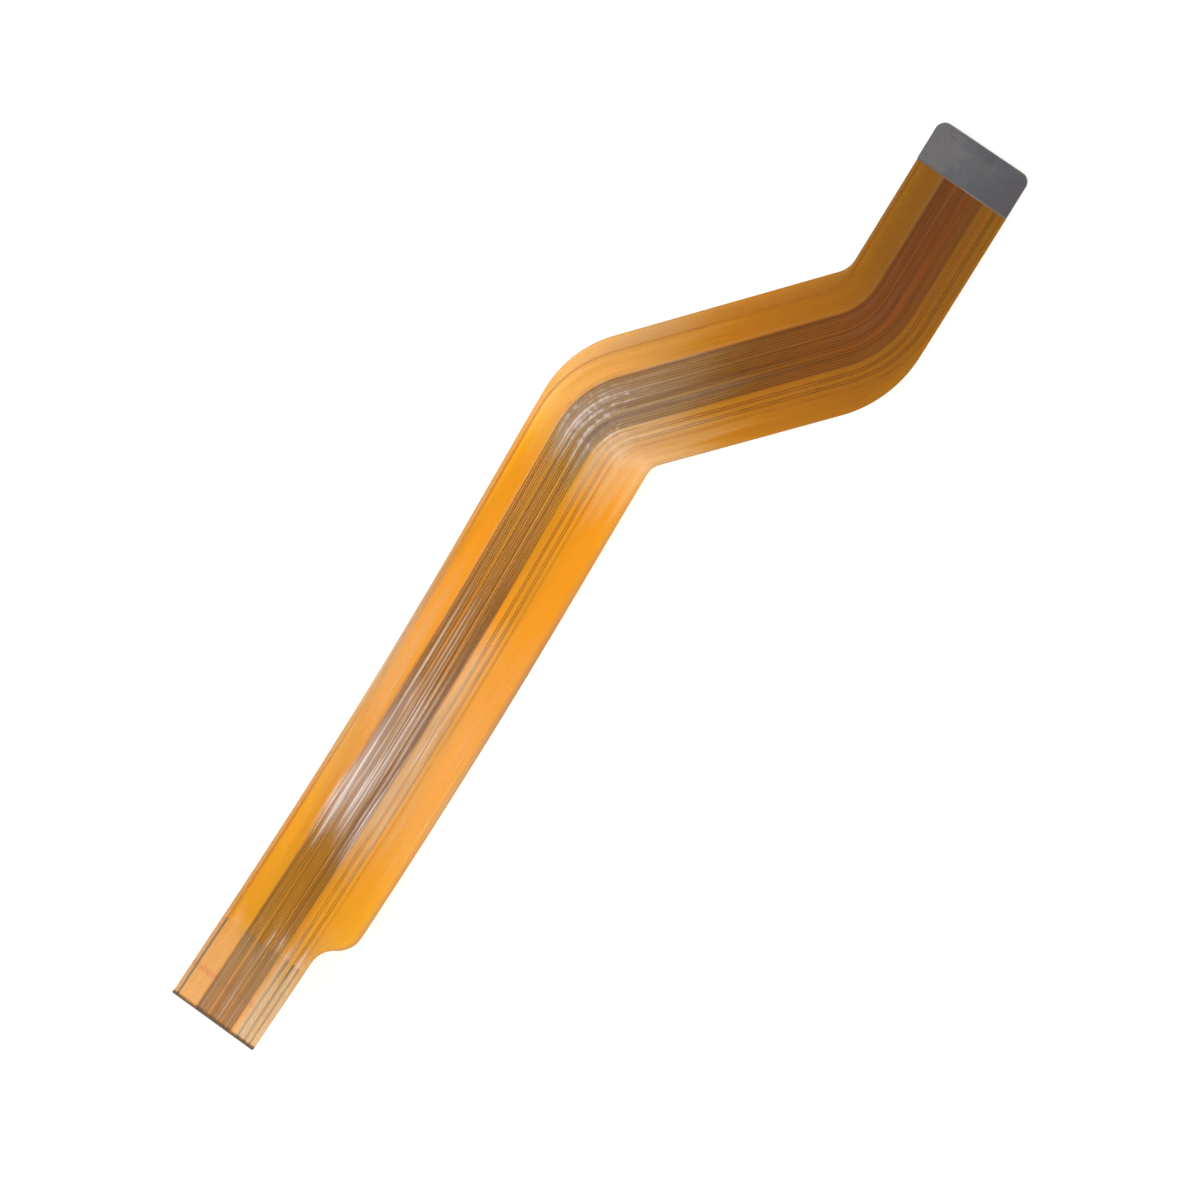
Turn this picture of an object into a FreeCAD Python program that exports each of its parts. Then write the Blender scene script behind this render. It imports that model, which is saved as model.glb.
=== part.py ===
"""Flat flex cable: a printed circuit on amber film, with a board plug and a contact tail.

Units are millimetres.  The origin is the middle of the plug's mating face, +Y points along the
legs towards the stiffened outer edge, +Z points up, away from the surface that the cable lies on.
Seen from above, the plug leg runs down from the plug, a diagonal leads off to the left, and the
long leg runs on down to the contact tail.
"""
import FreeCAD, Part
import math
import os

Vector = FreeCAD.Vector

# Plan of the film
plug_leg_width = 10.5
diagonal_width = 13.6
long_leg_width = 13.35
tail_width = 10.4
plug_to_outer_edge = 2.25
diagonal_angle = 40.8
diagonal_start = 15.4
long_leg_offset = 18.35
tail_end_distance = 118.7
step_from_end = 13.2
step_angle = 57.0
outer_corner_radius = 1.0
upper_inner_radius = 3.0
upper_outer_radius = 14.1
lower_inner_radius = 2.6
lower_outer_radius = 13.5
step_radius = 2.9
tail_corner_radius = 0.1

# Layers, from the underside up
coverlay_thickness = 0.06
copper_thickness = 0.035
base_film_thickness = 0.05
adhesive_thickness = 0.05
plug_stiffener_thickness = 0.25
tail_stiffener_thickness = 0.15

# Stiffeners and bare places
plug_stiffener_length = 4.5
plug_adhesive_showing = 0.25
tail_stiffener_length = 9.5
bare_finger_length = 3.5
window_margin = 0.2

# Shape at rest: how the film runs above the surface, in the plane of Y and Z
touch_from_end = 46.5
tail_rise_angle = 12.5
fall_angle = 4.0
climb_angle = 2.8
hump_radius = 200.0
seat_bend_radius = 100.0
climb_run = 8.0
overrun = 1.0
headroom = 12.0

# Plug
housing_height = 0.85
housing_length = 9.3
housing_depth = 2.3
housing_wall = 0.4
housing_floor = 0.25
end_wall = 0.55
long_wall_relief = 0.1
mating_chamfer = 0.12
contact_pitch = 0.4
contact_count = 20
contact_width = 0.18
contact_metal = 0.08
contact_crest_gap = 0.02
contact_bend_cut = 0.04
contact_foot_length = 0.32
contact_inner_reach = 0.12
nail_width = 1.6
nail_metal = 0.08
nail_foot_length = 0.27
nail_lift = 0.1

# Conductors: places are distances from the left or upper edge of the film
pad_overhang = 0.1
pad_width = 0.2
fine_width = 0.13
bundle_count = 3
line_count = 6
slot_pitch = contact_pitch / 2
first_slot_of_bundle = (10, 17, 26)
diagonal_bundle_start = (4.22, 5.94, 7.67)
diagonal_pitch = 0.26
long_bundle_start = (3.02, 4.62, 6.07)
long_pitch = 0.22
jog_length = 0.2
power_width = 0.3
power_column = (18, 19)
power_plug_place = (8.45, 9.3)
power_diagonal_place = (9.87, 10.6)
power_long_place = (8.25, 9.05)
power_jog_start = 1.1
left_guard_width = 0.24
left_guard_place = (0.42, 1.55, 0.5)
right_guard_width = 0.2
right_guard_place = (10.08, 11.3, 9.7)

# Points closer than this count as one
same_place = 1e-6

# Values worked out from the sizes above
left_x = -plug_leg_width / 2
right_x = plug_leg_width / 2
long_left_x = -long_leg_offset - long_leg_width / 2
long_right_x = -long_leg_offset + long_leg_width / 2
tail_y = -tail_end_distance
copper_level = coverlay_thickness - copper_thickness
base_level = coverlay_thickness
film_top_level = base_level + base_film_thickness
stiffener_level = film_top_level + adhesive_thickness
touch_y = tail_y + touch_from_end
foot_level = housing_height + copper_level
row_reach = housing_depth / 2 + contact_foot_length
row_end = row_reach + pad_overhang
first_column_x = -(contact_count - 1) * contact_pitch / 2
diagonal_way = Vector(-math.sin(math.radians(diagonal_angle)), -math.cos(math.radians(diagonal_angle)), 0)
diagonal_side = Vector(math.cos(math.radians(diagonal_angle)), -math.sin(math.radians(diagonal_angle)), 0)


def crossing(point, way, x):
    """Point where the line through point along way meets the line at this x."""
    return point + way * ((x - point.x) / way.x)


def diagonal_point(place):
    """A point on the line that runs down the diagonal at this distance from its upper edge."""
    return Vector(left_x, -diagonal_start, 0) + diagonal_side * place


def rounded_wire(corners):
    """Closed wire through (point, radius) corners: straight runs joined by tangent arcs."""
    count = len(corners)
    spans = []
    for index, (corner, radius) in enumerate(corners):
        if radius <= 0:
            spans.append((corner, None, corner))
            continue
        before = (corners[index - 1][0] - corner).normalize()
        after = (corners[(index + 1) % count][0] - corner).normalize()
        half = before.getAngle(after) / 2
        middle = (before + after).normalize()
        reach = radius / math.tan(half)
        top = corner + middle * (radius / math.sin(half) - radius)
        spans.append((corner + before * reach, top, corner + after * reach))
    edges = []
    for index, (start, top, end) in enumerate(spans):
        if top is not None:
            edges.append(Part.Arc(start, top, end).toShape())
        following = spans[(index + 1) % count][0]
        if end.distanceToPoint(following) > same_place:
            edges.append(Part.LineSegment(end, following).toShape())
    return Part.Wire(edges)


def plan_prism(corners):
    """Upright prism over a plan outline, taller than anything that it is used to trim."""
    face = Part.Face(rounded_wire(corners))
    face.translate(Vector(0, 0, -overrun))
    return face.extrude(Vector(0, 0, overrun + headroom))


def block(x_low, x_high, y_low, y_high, z_low, z_high):
    return Part.makeBox(x_high - x_low, y_high - y_low, z_high - z_low, Vector(x_low, y_low, z_low))


def rest_stations():
    """The underside of the cable at rest as (point, slope) stations, from the outer edge to the tail.

    Each entry holds the stations of one line (two) or one arc (three: start, middle, end).
    """
    rise = math.radians(tail_rise_angle)
    fall = math.radians(fall_angle)
    climb = math.radians(climb_angle)
    touch_radius = (touch_from_end - tail_stiffener_length) / math.sin(rise)
    height = housing_height + seat_bend_radius * (1 - math.cos(climb)) + climb_run * math.sin(climb)
    height += hump_radius * (math.cos(fall) - math.cos(climb)) - touch_radius * (1 - math.cos(fall))
    fall_run = height / math.sin(fall)
    reach = seat_bend_radius * math.sin(climb) + climb_run * math.cos(climb)
    reach += hump_radius * (math.sin(climb) + math.sin(fall))
    reach += fall_run * math.cos(fall) + touch_radius * math.sin(fall)
    start = plug_to_outer_edge + overrun
    moves = [("line", start - (touch_y + reach)), ("arc", climb, seat_bend_radius), ("line", climb_run)]
    moves += [("arc", -fall, hump_radius), ("line", fall_run), ("arc", rise, touch_radius)]
    moves += [("line", tail_stiffener_length / math.cos(rise) + overrun)]
    point = Vector(0, start, housing_height)
    slope = 0.0
    pieces = []
    for move in moves:
        if move[0] == "line":
            end = point + Vector(0, -math.cos(slope), math.sin(slope)) * move[1]
            pieces.append([(point, slope), (end, slope)])
        else:
            turn = 1 if move[1] > slope else -1
            centre = point + up_at(slope) * (turn * move[2])
            middle = (slope + move[1]) / 2
            half_way = centre - up_at(middle) * (turn * move[2])
            end = centre - up_at(move[1]) * (turn * move[2])
            pieces.append([(point, slope), (half_way, middle), (end, move[1])])
            slope = move[1]
        point = end
    return pieces


def up_at(slope):
    """The direction square to the film where it climbs towards the tail at this slope."""
    return Vector(0, math.sin(slope), math.cos(slope))


def level_edges(level):
    """Edges of the rest curve, raised square to the film by this level."""
    edges = []
    for stations in rest_stations():
        points = [point + up_at(slope) * level for point, slope in stations]
        if len(points) == 2:
            edges.append(Part.LineSegment(points[0], points[1]).toShape())
        else:
            edges.append(Part.Arc(points[0], points[1], points[2]).toShape())
    return edges


def layer_sheet(low, high):
    """The full width sheet between two levels above the underside of the film."""
    lower = level_edges(low)
    upper = level_edges(high)
    start = Part.LineSegment(lower[0].firstVertex(True).Point, upper[0].firstVertex(True).Point)
    end = Part.LineSegment(lower[-1].lastVertex(True).Point, upper[-1].lastVertex(True).Point)
    edges = Part.sortEdges(lower + upper + [start.toShape(), end.toShape()])[0]
    face = Part.Face(Part.Wire(edges))
    face.translate(Vector(long_left_x - overrun, 0, 0))
    return face.extrude(Vector(right_x - long_left_x + 2 * overrun, 0, 0))


def film_corners():
    """Plan outline of the film, clockwise from the outer left corner."""
    low_corner = diagonal_point(diagonal_width)
    tail_right_x = long_left_x + tail_width
    step_run = (long_right_x - tail_right_x) / math.tan(math.radians(step_angle))
    step_y = tail_y + step_from_end
    return [
        (Vector(left_x, plug_to_outer_edge, 0), outer_corner_radius),
        (Vector(right_x, plug_to_outer_edge, 0), outer_corner_radius),
        (crossing(low_corner, diagonal_way, right_x), upper_outer_radius),
        (crossing(low_corner, diagonal_way, long_right_x), lower_inner_radius),
        (Vector(long_right_x, step_y + step_run / 2, 0), step_radius),
        (Vector(tail_right_x, step_y - step_run / 2, 0), step_radius),
        (Vector(tail_right_x, tail_y, 0), tail_corner_radius),
        (Vector(long_left_x, tail_y, 0), tail_corner_radius),
        (crossing(diagonal_point(0), diagonal_way, long_left_x), lower_outer_radius),
        (Vector(left_x, -diagonal_start, 0), upper_inner_radius),
    ]


def side_corners(places, offset, plug_points):
    """One side of a conductor, from the tail's edge to the plug, as (point, radius) corners.

    places are the conductor's distances from the film's left or upper edge in the plug leg, the
    diagonal and the long leg.  offset moves the side to the left of the conductor's middle line.
    plug_points are the (x, y) points of its last stretch, by the plug.
    """
    plug_place, diagonal_place, long_place = places
    line = diagonal_point(diagonal_place)
    path = [
        Vector(long_left_x + long_place, tail_y, 0),
        crossing(line, diagonal_way, long_left_x + long_place),
        crossing(line, diagonal_way, left_x + plug_place),
    ]
    path += [Vector(x, y, 0) for x, y in plug_points]
    lower_radius = lower_inner_radius + diagonal_width - diagonal_place + offset
    upper_radius = upper_inner_radius + diagonal_place - offset
    radii = [0, lower_radius, upper_radius] + [0] * len(plug_points)
    return list(zip(offset_path(path, offset), radii))


def conductor_corners(places, width, plug_points):
    """Plan outline of one conductor."""
    left_side = side_corners(places, width / 2, plug_points)
    right_side = side_corners(places, -width / 2, plug_points)
    return left_side + right_side[::-1]


def offset_path(path, distance):
    """The path moved sideways to its left by this distance, with mitred corners."""
    ways = [(b - a).normalize() for a, b in zip(path, path[1:])]
    moved = []
    for index, point in enumerate(path):
        before = ways[max(index - 1, 0)]
        after = ways[min(index, len(ways) - 1)]
        side = Vector(-before.y, before.x, 0) + Vector(-after.y, after.x, 0)
        side = side * (1 / side.Length)
        moved.append(point + side * (distance / side.dot(Vector(-before.y, before.x, 0))))
    return moved


def slot_x(slot):
    """Slots lie half a contact pitch apart: even ones on a column of contacts, odd ones between."""
    return first_column_x + slot * slot_pitch


def signal_places(bundle, line):
    """A fine line's distances from the film's edge in the plug leg, the diagonal and the long leg."""
    x = slot_x(first_slot_of_bundle[bundle] + line)
    diagonal_place = diagonal_bundle_start[bundle] + line * diagonal_pitch
    long_place = long_bundle_start[bundle] + line * long_pitch
    return x - left_x, diagonal_place, long_place


def signal_line_corners(bundle, line):
    slot = first_slot_of_bundle[bundle] + line
    x = slot_x(slot)
    near_end = -housing_depth / 2 + pad_overhang
    if slot % 2 == 0:
        plug_points = [(x, near_end)]
    else:
        far_x = x - slot_pitch
        plug_points = [(x, near_end), (far_x, near_end + jog_length), (far_x, row_end)]
    return conductor_corners(signal_places(bundle, line), fine_width, plug_points)


def bundle_corners(bundle):
    """Plan outline around all the fine lines of a bundle, up to the plug's window."""
    first = signal_places(bundle, 0)
    last = signal_places(bundle, line_count - 1)
    left_side = side_corners(first, fine_width / 2, [(left_x + first[0], -row_end)])
    right_side = side_corners(last, -fine_width / 2, [(left_x + last[0], -row_end)])
    return left_side + right_side[::-1]


def power_line_corners(index):
    start_x = left_x + power_plug_place[index]
    end_x = slot_x(2 * power_column[index])
    jog_y = -row_end - power_jog_start
    near_end = -housing_depth / 2 + pad_overhang
    plug_points = [(start_x, jog_y), (end_x, jog_y + 2 * jog_length), (end_x, near_end)]
    places = (power_plug_place[index], power_diagonal_place[index], power_long_place[index])
    return conductor_corners(places, power_width, plug_points)


def guard_line_corners(places, width):
    return conductor_corners(places, width, [(left_x + places[0], nail_width / 2)])


def single_outlines():
    """The conductors that run by themselves, by name, as plan outlines."""
    outlines = {"left_guard_line": guard_line_corners(left_guard_place, left_guard_width)}
    for index in range(len(power_column)):
        outlines[f"power_line_{index + 1}"] = power_line_corners(index)
    outlines["right_guard_line"] = guard_line_corners(right_guard_place, right_guard_width)
    return outlines


def signal_outlines():
    """The fine lines of the bundles, by name, as plan outlines."""
    outlines = {}
    for bundle in range(bundle_count):
        for line in range(line_count):
            number = bundle * line_count + line + 1
            outlines[f"signal_line_{number:02d}"] = signal_line_corners(bundle, line)
    return outlines


def used_columns():
    """Columns of contacts that a conductor reaches, in the near and in the far row."""
    near = set(power_column)
    far = set()
    for first_slot in first_slot_of_bundle:
        for slot in range(first_slot, first_slot + line_count):
            (far if slot % 2 else near).add(slot // 2)
    return near, far


def spare_pad_prisms():
    """Copper pads under the contacts that carry nothing, so that every contact is soldered."""
    near, far = used_columns()
    inner = housing_depth / 2 - pad_overhang
    prisms = []
    for column in range(contact_count):
        x = slot_x(2 * column)
        low, high = x - pad_width / 2, x + pad_width / 2
        if column not in near:
            prisms.append(block(low, high, -row_end, -inner, -overrun, headroom))
        if column not in far:
            prisms.append(block(low, high, inner, row_end, -overrun, headroom))
    return prisms


def end_strip(length):
    """Block over the last stretch of the tail, this long, to trim what lies only there."""
    return block(long_left_x - overrun, right_x, tail_y - overrun, tail_y + length, -overrun, headroom)


def plug_strip(length):
    """Block over the plug end of the film, this long."""
    low = plug_to_outer_edge - length
    return block(left_x - overrun, right_x + overrun, low, plug_to_outer_edge + overrun, -overrun, headroom)


def base_film(film):
    return film.common(layer_sheet(base_level, film_top_level))


def coverlay(film, channel_prisms):
    """Cover film with channels for the copper, a window for the plug and bare fingers."""
    sheet = film.common(layer_sheet(0, base_level))
    window_x = housing_length / 2 + nail_foot_length + nail_metal + window_margin / 2
    window_y = row_end + window_margin
    window = block(-window_x, window_x, -window_y, window_y, -overrun, headroom)
    sheet = sheet.cut(window).cut(end_strip(bare_finger_length))
    channel_sheet = layer_sheet(copper_level, base_level + overrun / 10)
    channels = [prism.common(channel_sheet) for prism in channel_prisms]
    return sheet.cut(channels)


def stiffener(film, strip, low, thickness):
    return film.common(strip).common(layer_sheet(low, low + thickness))


def plug_housing():
    """Moulded plug body: a tray open towards the mating side, with lower long walls."""
    half_x = housing_length / 2
    half_y = housing_depth / 2
    body = block(-half_x, half_x, -half_y, half_y, 0, housing_height)
    inner_x = half_x - end_wall
    inner_y = half_y - housing_wall
    body = body.cut(block(-inner_x, inner_x, -inner_y, inner_y, -overrun, housing_height - housing_floor))
    body = body.cut(block(-inner_x, inner_x, -half_y - overrun, half_y + overrun, -overrun, long_wall_relief))
    rim = [edge for edge in body.Edges if is_mating_rim(edge, half_x, half_y)]
    return body.makeChamfer(mating_chamfer, rim)


def is_mating_rim(edge, half_x, half_y):
    """The outer edges of the two end walls at the mating face."""
    box = edge.BoundBox
    on_face = abs(box.ZMin) < same_place and abs(box.ZMax) < same_place
    on_end = abs(abs(box.XMin) - half_x) < same_place and abs(abs(box.XMax) - half_x) < same_place
    return on_face and on_end


def contact_profile(side):
    """Section of a contact that wraps its wall, with a foot outside (side is +1 or -1 in Y)."""
    wall_out = housing_depth / 2
    wall_in = wall_out - housing_wall
    metal = contact_metal
    cut = contact_bend_cut
    low = contact_crest_gap
    top_in = housing_height - housing_floor - contact_inner_reach
    points = [
        (wall_out, foot_level), (row_reach, foot_level), (row_reach, foot_level - metal),
        (wall_out + metal, foot_level - metal), (wall_out + metal, low + cut), (wall_out + metal - cut, low),
        (wall_in - metal + cut, low), (wall_in - metal, low + cut), (wall_in - metal, top_in),
        (wall_in, top_in), (wall_in, long_wall_relief), (wall_out, long_wall_relief),
    ]
    return [(Vector(0, side * y, z), 0) for y, z in points]


def contact_row(side):
    profile = Part.Face(rounded_wire(contact_profile(side)))
    contacts = []
    for column in range(contact_count):
        blade = profile.extrude(Vector(contact_width, 0, 0))
        blade.translate(Vector(slot_x(2 * column) - contact_width / 2, 0, 0))
        contacts.append(blade)
    return Part.makeCompound(contacts)


def fitting_nail(side):
    """Folded tab that holds one end of the plug to the film (side is +1 or -1 in X)."""
    face_x = housing_length / 2
    points = [
        (face_x, foot_level), (face_x + nail_metal + nail_foot_length, foot_level),
        (face_x + nail_metal + nail_foot_length, foot_level - nail_metal),
        (face_x + nail_metal, foot_level - nail_metal), (face_x + nail_metal, mating_chamfer + nail_lift),
        (face_x, mating_chamfer + nail_lift),
    ]
    corners = [(Vector(side * x, -nail_width / 2, z), 0) for x, z in points]
    return Part.Face(rounded_wire(corners)).extrude(Vector(0, nail_width, 0))


def all_parts():
    film = plan_prism(film_corners())
    copper_sheet = layer_sheet(copper_level, base_level)
    singles = {name: plan_prism(corners) for name, corners in single_outlines().items()}
    signals = {name: plan_prism(corners) for name, corners in signal_outlines().items()}
    bundles = [plan_prism(bundle_corners(bundle)) for bundle in range(bundle_count)]
    pads = spare_pad_prisms()
    plug_end = plug_strip(plug_stiffener_length)
    plug_adhesive_end = plug_strip(plug_stiffener_length + plug_adhesive_showing)
    tail_end = end_strip(tail_stiffener_length)
    parts = {
        "base_film": base_film(film),
        "coverlay": coverlay(film, bundles + list(singles.values())),
        "plug_stiffener_adhesive": stiffener(film, plug_adhesive_end, film_top_level, adhesive_thickness),
        "plug_stiffener": stiffener(film, plug_end, stiffener_level, plug_stiffener_thickness),
        "tail_stiffener_adhesive": stiffener(film, tail_end, film_top_level, adhesive_thickness),
        "tail_stiffener": stiffener(film, tail_end, stiffener_level, tail_stiffener_thickness),
        "plug_housing": plug_housing(),
        "far_contact_row": contact_row(1),
        "near_contact_row": contact_row(-1),
        "left_fitting_nail": fitting_nail(-1),
        "right_fitting_nail": fitting_nail(1),
        "spare_pads": Part.makeCompound([pad.common(copper_sheet) for pad in pads]),
    }
    for name, prism in {**signals, **singles}.items():
        parts[name] = prism.common(copper_sheet)
    return parts


def plain_solids(shape):
    """The solids alone, so that a file holds one body or one group of bodies."""
    solids = shape.Solids
    return solids[0] if len(solids) == 1 else Part.makeCompound(solids)


os.makedirs("parts", exist_ok=True)
for part_name, part_shape in all_parts().items():
    plain_solids(part_shape).exportStep(f"parts/{part_name}.step")
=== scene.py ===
"""Looks of the flat flex cable: see-through films over copper lines, stiffeners, plug, stage and camera.

Sizes are in millimetres, and points are turned into metres where a mesh is made. The origin is the
middle of the plug's mating face, +Y points along the legs to the plug's outer edge, +Z up.

A lane runs along the whole cable and has three places: its distances from the film's left or upper
edge in the plug leg, the diagonal and the long leg. Its stations are its points from the tail's end
to the plug. In the films' lanes map, U is a lane's place in the long leg, in centimetres, and V is
the length from the tail's end, in decimetres.
"""
import math

import bmesh
import bpy
from mathutils import Matrix, Vector


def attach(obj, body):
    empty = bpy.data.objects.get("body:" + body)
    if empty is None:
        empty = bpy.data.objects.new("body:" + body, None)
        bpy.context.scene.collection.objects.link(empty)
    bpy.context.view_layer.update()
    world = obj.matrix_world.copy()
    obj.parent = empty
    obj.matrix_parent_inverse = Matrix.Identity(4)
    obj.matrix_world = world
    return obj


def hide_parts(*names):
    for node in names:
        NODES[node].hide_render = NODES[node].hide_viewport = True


MM = 0.001

# Plan of the film, as in the solids
PLUG_LEG_WIDTH = 10.5
DIAGONAL_WIDTH = 13.6
LONG_LEG_WIDTH = 13.35
TAIL_WIDTH = 10.4
OUTER_EDGE_Y = 2.25
DIAGONAL_ANGLE = math.radians(40.8)
DIAGONAL_START = 15.4
LONG_LEG_OFFSET = 18.35
TAIL_Y = -118.7
STEP_FROM_END = 13.2
STEP_ANGLE = math.radians(57.0)
OUTER_CORNER_RADIUS = 1.0
UPPER_INNER_RADIUS = 3.0
UPPER_OUTER_RADIUS = 14.1
LOWER_INNER_RADIUS = 2.6
LOWER_OUTER_RADIUS = 13.5
STEP_RADIUS = 2.9

# Levels above the underside of the film
COPPER_LOW = 0.025
COPPER_TOP = 0.06
FILM_TOP = 0.11
# Relief of the film over a fine line, and a wide line's share of it
EMBOSS = 0.012
WIDE_LINE_RELIEF = 0.4
# Room between skins that would otherwise share faces
SKIN_GAP = 0.001

# Shape at rest
HOUSING_HEIGHT = 0.85
TOUCH_FROM_END = 46.5
TAIL_RISE = math.radians(12.5)
FALL = math.radians(4.0)
CLIMB = math.radians(2.8)
HUMP_RADIUS = 200.0
SEAT_RADIUS = 100.0
CLIMB_RUN = 8.0
TAIL_STIFFENER_LENGTH = 9.5
BARE_FINGER_LENGTH = 3.5
PLUG_ADHESIVE_LENGTH = 4.75
# How far the curve of the underside runs on past the plug's outer edge
PLUG_OVERRUN = 1.0
# How far past the bonded stiffeners the film's top stays without relief
TAIL_FLAT_MARGIN = 0.5
PLUG_FLAT_MARGIN = 0.3

# Window of the cover film around the plug, as half sizes
WINDOW_X = 5.1
WINDOW_Y = 1.77

# Conductors, with the places of their middles
FINE_WIDTH = 0.13
SLOT_PITCH = 0.2
FIRST_SLOT_PLACE = 1.45
FIRST_SLOT_OF_BUNDLE = (10, 17, 26)
DIAGONAL_BUNDLE_START = (4.22, 5.94, 7.67)
DIAGONAL_PITCH = 0.26
LONG_BUNDLE_START = (3.02, 4.62, 6.07)
LONG_PITCH = 0.22
LINES_PER_BUNDLE = 6
POWER_WIDTH = 0.3
RIM_WIDTH = 0.08
POWER_PLACES = ((8.45, 9.87, 8.25), (9.3, 10.6, 9.05))
POWER_END_PLACES = (8.65, 9.05)
LEFT_GUARD = ((0.42, 1.55, 0.5), 0.24)
RIGHT_GUARD = ((10.08, 11.3, 9.7), 0.2)
NEAR_PAD_Y = -1.05
FAR_PAD_Y = 1.57
GUARD_END_Y = 0.8
JOG = 0.2
POWER_JOG_Y = -2.67
# Room between a line's last station and the first of its own end points
END_ROOM = 0.05

# Steps of the stations in each stretch, from the tail to the plug, and the usual step between lanes
STEP_CURVE_COUNT = 8
TAIL_BLOCK = 22.0
TAIL_BLOCK_COUNT = 44
LONG_COUNT = 80
BEND_COUNT = 28
DIAGONAL_COUNT = 24
PLUG_LEG_COUNT = 14
PLUG_BLOCK_Y = -6.0
PLUG_BLOCK_COUNT = 12
WINDOW_COUNT = 10
WINDOW_END_COUNT = 5
CORNER_COUNT = 8
LANE_SPACING = 0.5

# Places in a film's list of materials, and in a copper line's
OUTER, INNER, EDGE = 0, 1, 2
FACE, RIM = 0, 1

# The lanes map, and the film's length along its middle, in V
U_PER_MM = 0.1
V_PER_MM = 0.01
FILM_LENGTH = 1.272

# Stops of the film's look are (place, value). Along the film, places go from 0 at the tail's end to 1
# at the plug's outer edge, and across it they are values of U.

# What one face of the film lets through, with painted shade that darkens it towards the plug and painted
# light that makes it paler at the lower bend; what the band of fine lines takes away from that, which is
# painted shade for the shadow of its copper lines on the floor seen through the film; and where the band
# lies across the film
SEE_THROUGH_AND_SHADE = [
    (0.00, (0.90, 0.587, 0.22)), (0.06, (0.885, 0.563, 0.15)), (0.09, (0.81, 0.525, 0.075)),
    (0.18, (0.855, 0.57, 0.09)), (0.30, (0.885, 0.615, 0.12)), (0.54, (0.905, 0.605, 0.03)),
    (0.60, (0.955, 0.69, 0.28)), (0.67, (0.79, 0.565, 0.215)), (0.73, (0.70, 0.44, 0.013)),
    (0.88, (0.53, 0.325, 0.009)), (1.00, (0.493, 0.309, 0.009)),
]
BAND_SHADE = [
    (0.00, (0.76, 0.60, 0.28)), (0.08, (0.89, 0.94, 0.53)), (0.20, (0.88, 0.92, 0.75)),
    (0.34, (0.82, 0.74, 0.37)), (0.54, (0.94, 0.96, 0.51)), (0.60, (0.69, 0.77, 0.97)),
    (0.67, (0.765, 0.78, 0.95)), (0.73, (0.75, 0.68, 0.54)), (0.88, (0.94, 0.64, 0.30)),
    (1.00, (0.94, 0.64, 0.30)),
]
OVER_LINES = [(0.27, 0.0), (0.30, 1.0), (0.72, 1.0), (0.75, 0.0)]
# Where the band's painted shade is lighter, and how much lighter
LIGHTER_BAND_SHADE = (
    [(0.60, 0.0), (0.63, 1.0), (0.70, 1.0), (0.74, 0.0)],
    [(0.78, 0.0), (0.84, 1.0)],
)
LIGHTER_BAND_SHADE_SHARE = 0.45
# Painted light: where the film lets more light through, and what it lets through there
PAINTED_LIGHT_PLACES = (
    # The right margin of the step and the lower long leg
    ([(0.74, 0.0), (0.82, 1.0)],
     [(0.07, 0.0), (0.11, 1.0), (0.28, 1.0), (0.36, 0.0)],
     (0.91, 0.63, 0.11, 1.0)),
    # Over the first power line, in the upper bend and the plug leg
    ([(0.79, 0.0), (0.82, 1.0), (0.85, 1.0), (0.88, 0.0)],
     [(0.78, 0.0), (0.84, 1.0)],
     (0.57, 0.335, 0.009, 1.0)),
)
# Where the film is darker, and what it lets through where it is darkest
DARK_PLACES = (
    # The right side of the band in the long leg
    ([(0.64, 0.0), (0.67, 1.0), (0.725, 1.0), (0.74, 0.0)],
     [(0.13, 0.0), (0.20, 1.0), (0.42, 1.0), (0.50, 0.0)]),
    # A thin line over the band's first line in the diagonal and the plug leg
    ([(0.276, 0.0), (0.286, 1.0), (0.310, 1.0), (0.320, 0.0)],
     [(0.60, 0.0), (0.70, 1.0), (0.95, 1.0), (0.98, 0.0)]),
)
DARK_TINT = (0.80, 0.74, 0.76, 1.0)
# Dark and pale stripes along the band, from one noise, and where the pale ones are; the pale stripes are
# painted highlights
STRIPE_SCALE = (34.0, 1.8)
DARK_STRIPES = [(0.38, 1.0), (0.48, 0.0)]
GLINT_STRIPES = [(0.50, 0.0), (0.59, 0.80)]
GLINT_STRIPE_PLACE = (
    [(0.28, 0.0), (0.33, 1.0), (0.62, 1.0), (0.70, 0.0)],
    [(0.16, 0.0), (0.22, 1.0), (0.34, 0.7), (0.43, 0.06), (0.57, 0.06), (0.61, 0.0)],
)
# Painted shade and sheen by the edges: stops of the distance from the nearer edge, stops along it, and
# how much it darkens the film and how much sheen it adds
EDGE_SHADE_AND_SHEEN = (
    [(0.0, 1.0), (0.07, 0.0)],
    [(0.50, 1.0), (0.58, 0.5), (0.66, 0.6), (0.74, 0.1)],
)
EDGE_SHADE_DARKNESS = 0.8
EDGE_SHEEN = 0.2
# The film's own dull colour and its share, with what is added over the tail's lines
BODY_COLOUR = (0.80, 0.36, 0.02, 1.0)
BODY_SHARE = 0.08
TAIL_BAND = [(0.055, 1.0), (0.085, 0.0)]
TAIL_BODY_SHARE = 0.15
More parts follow.
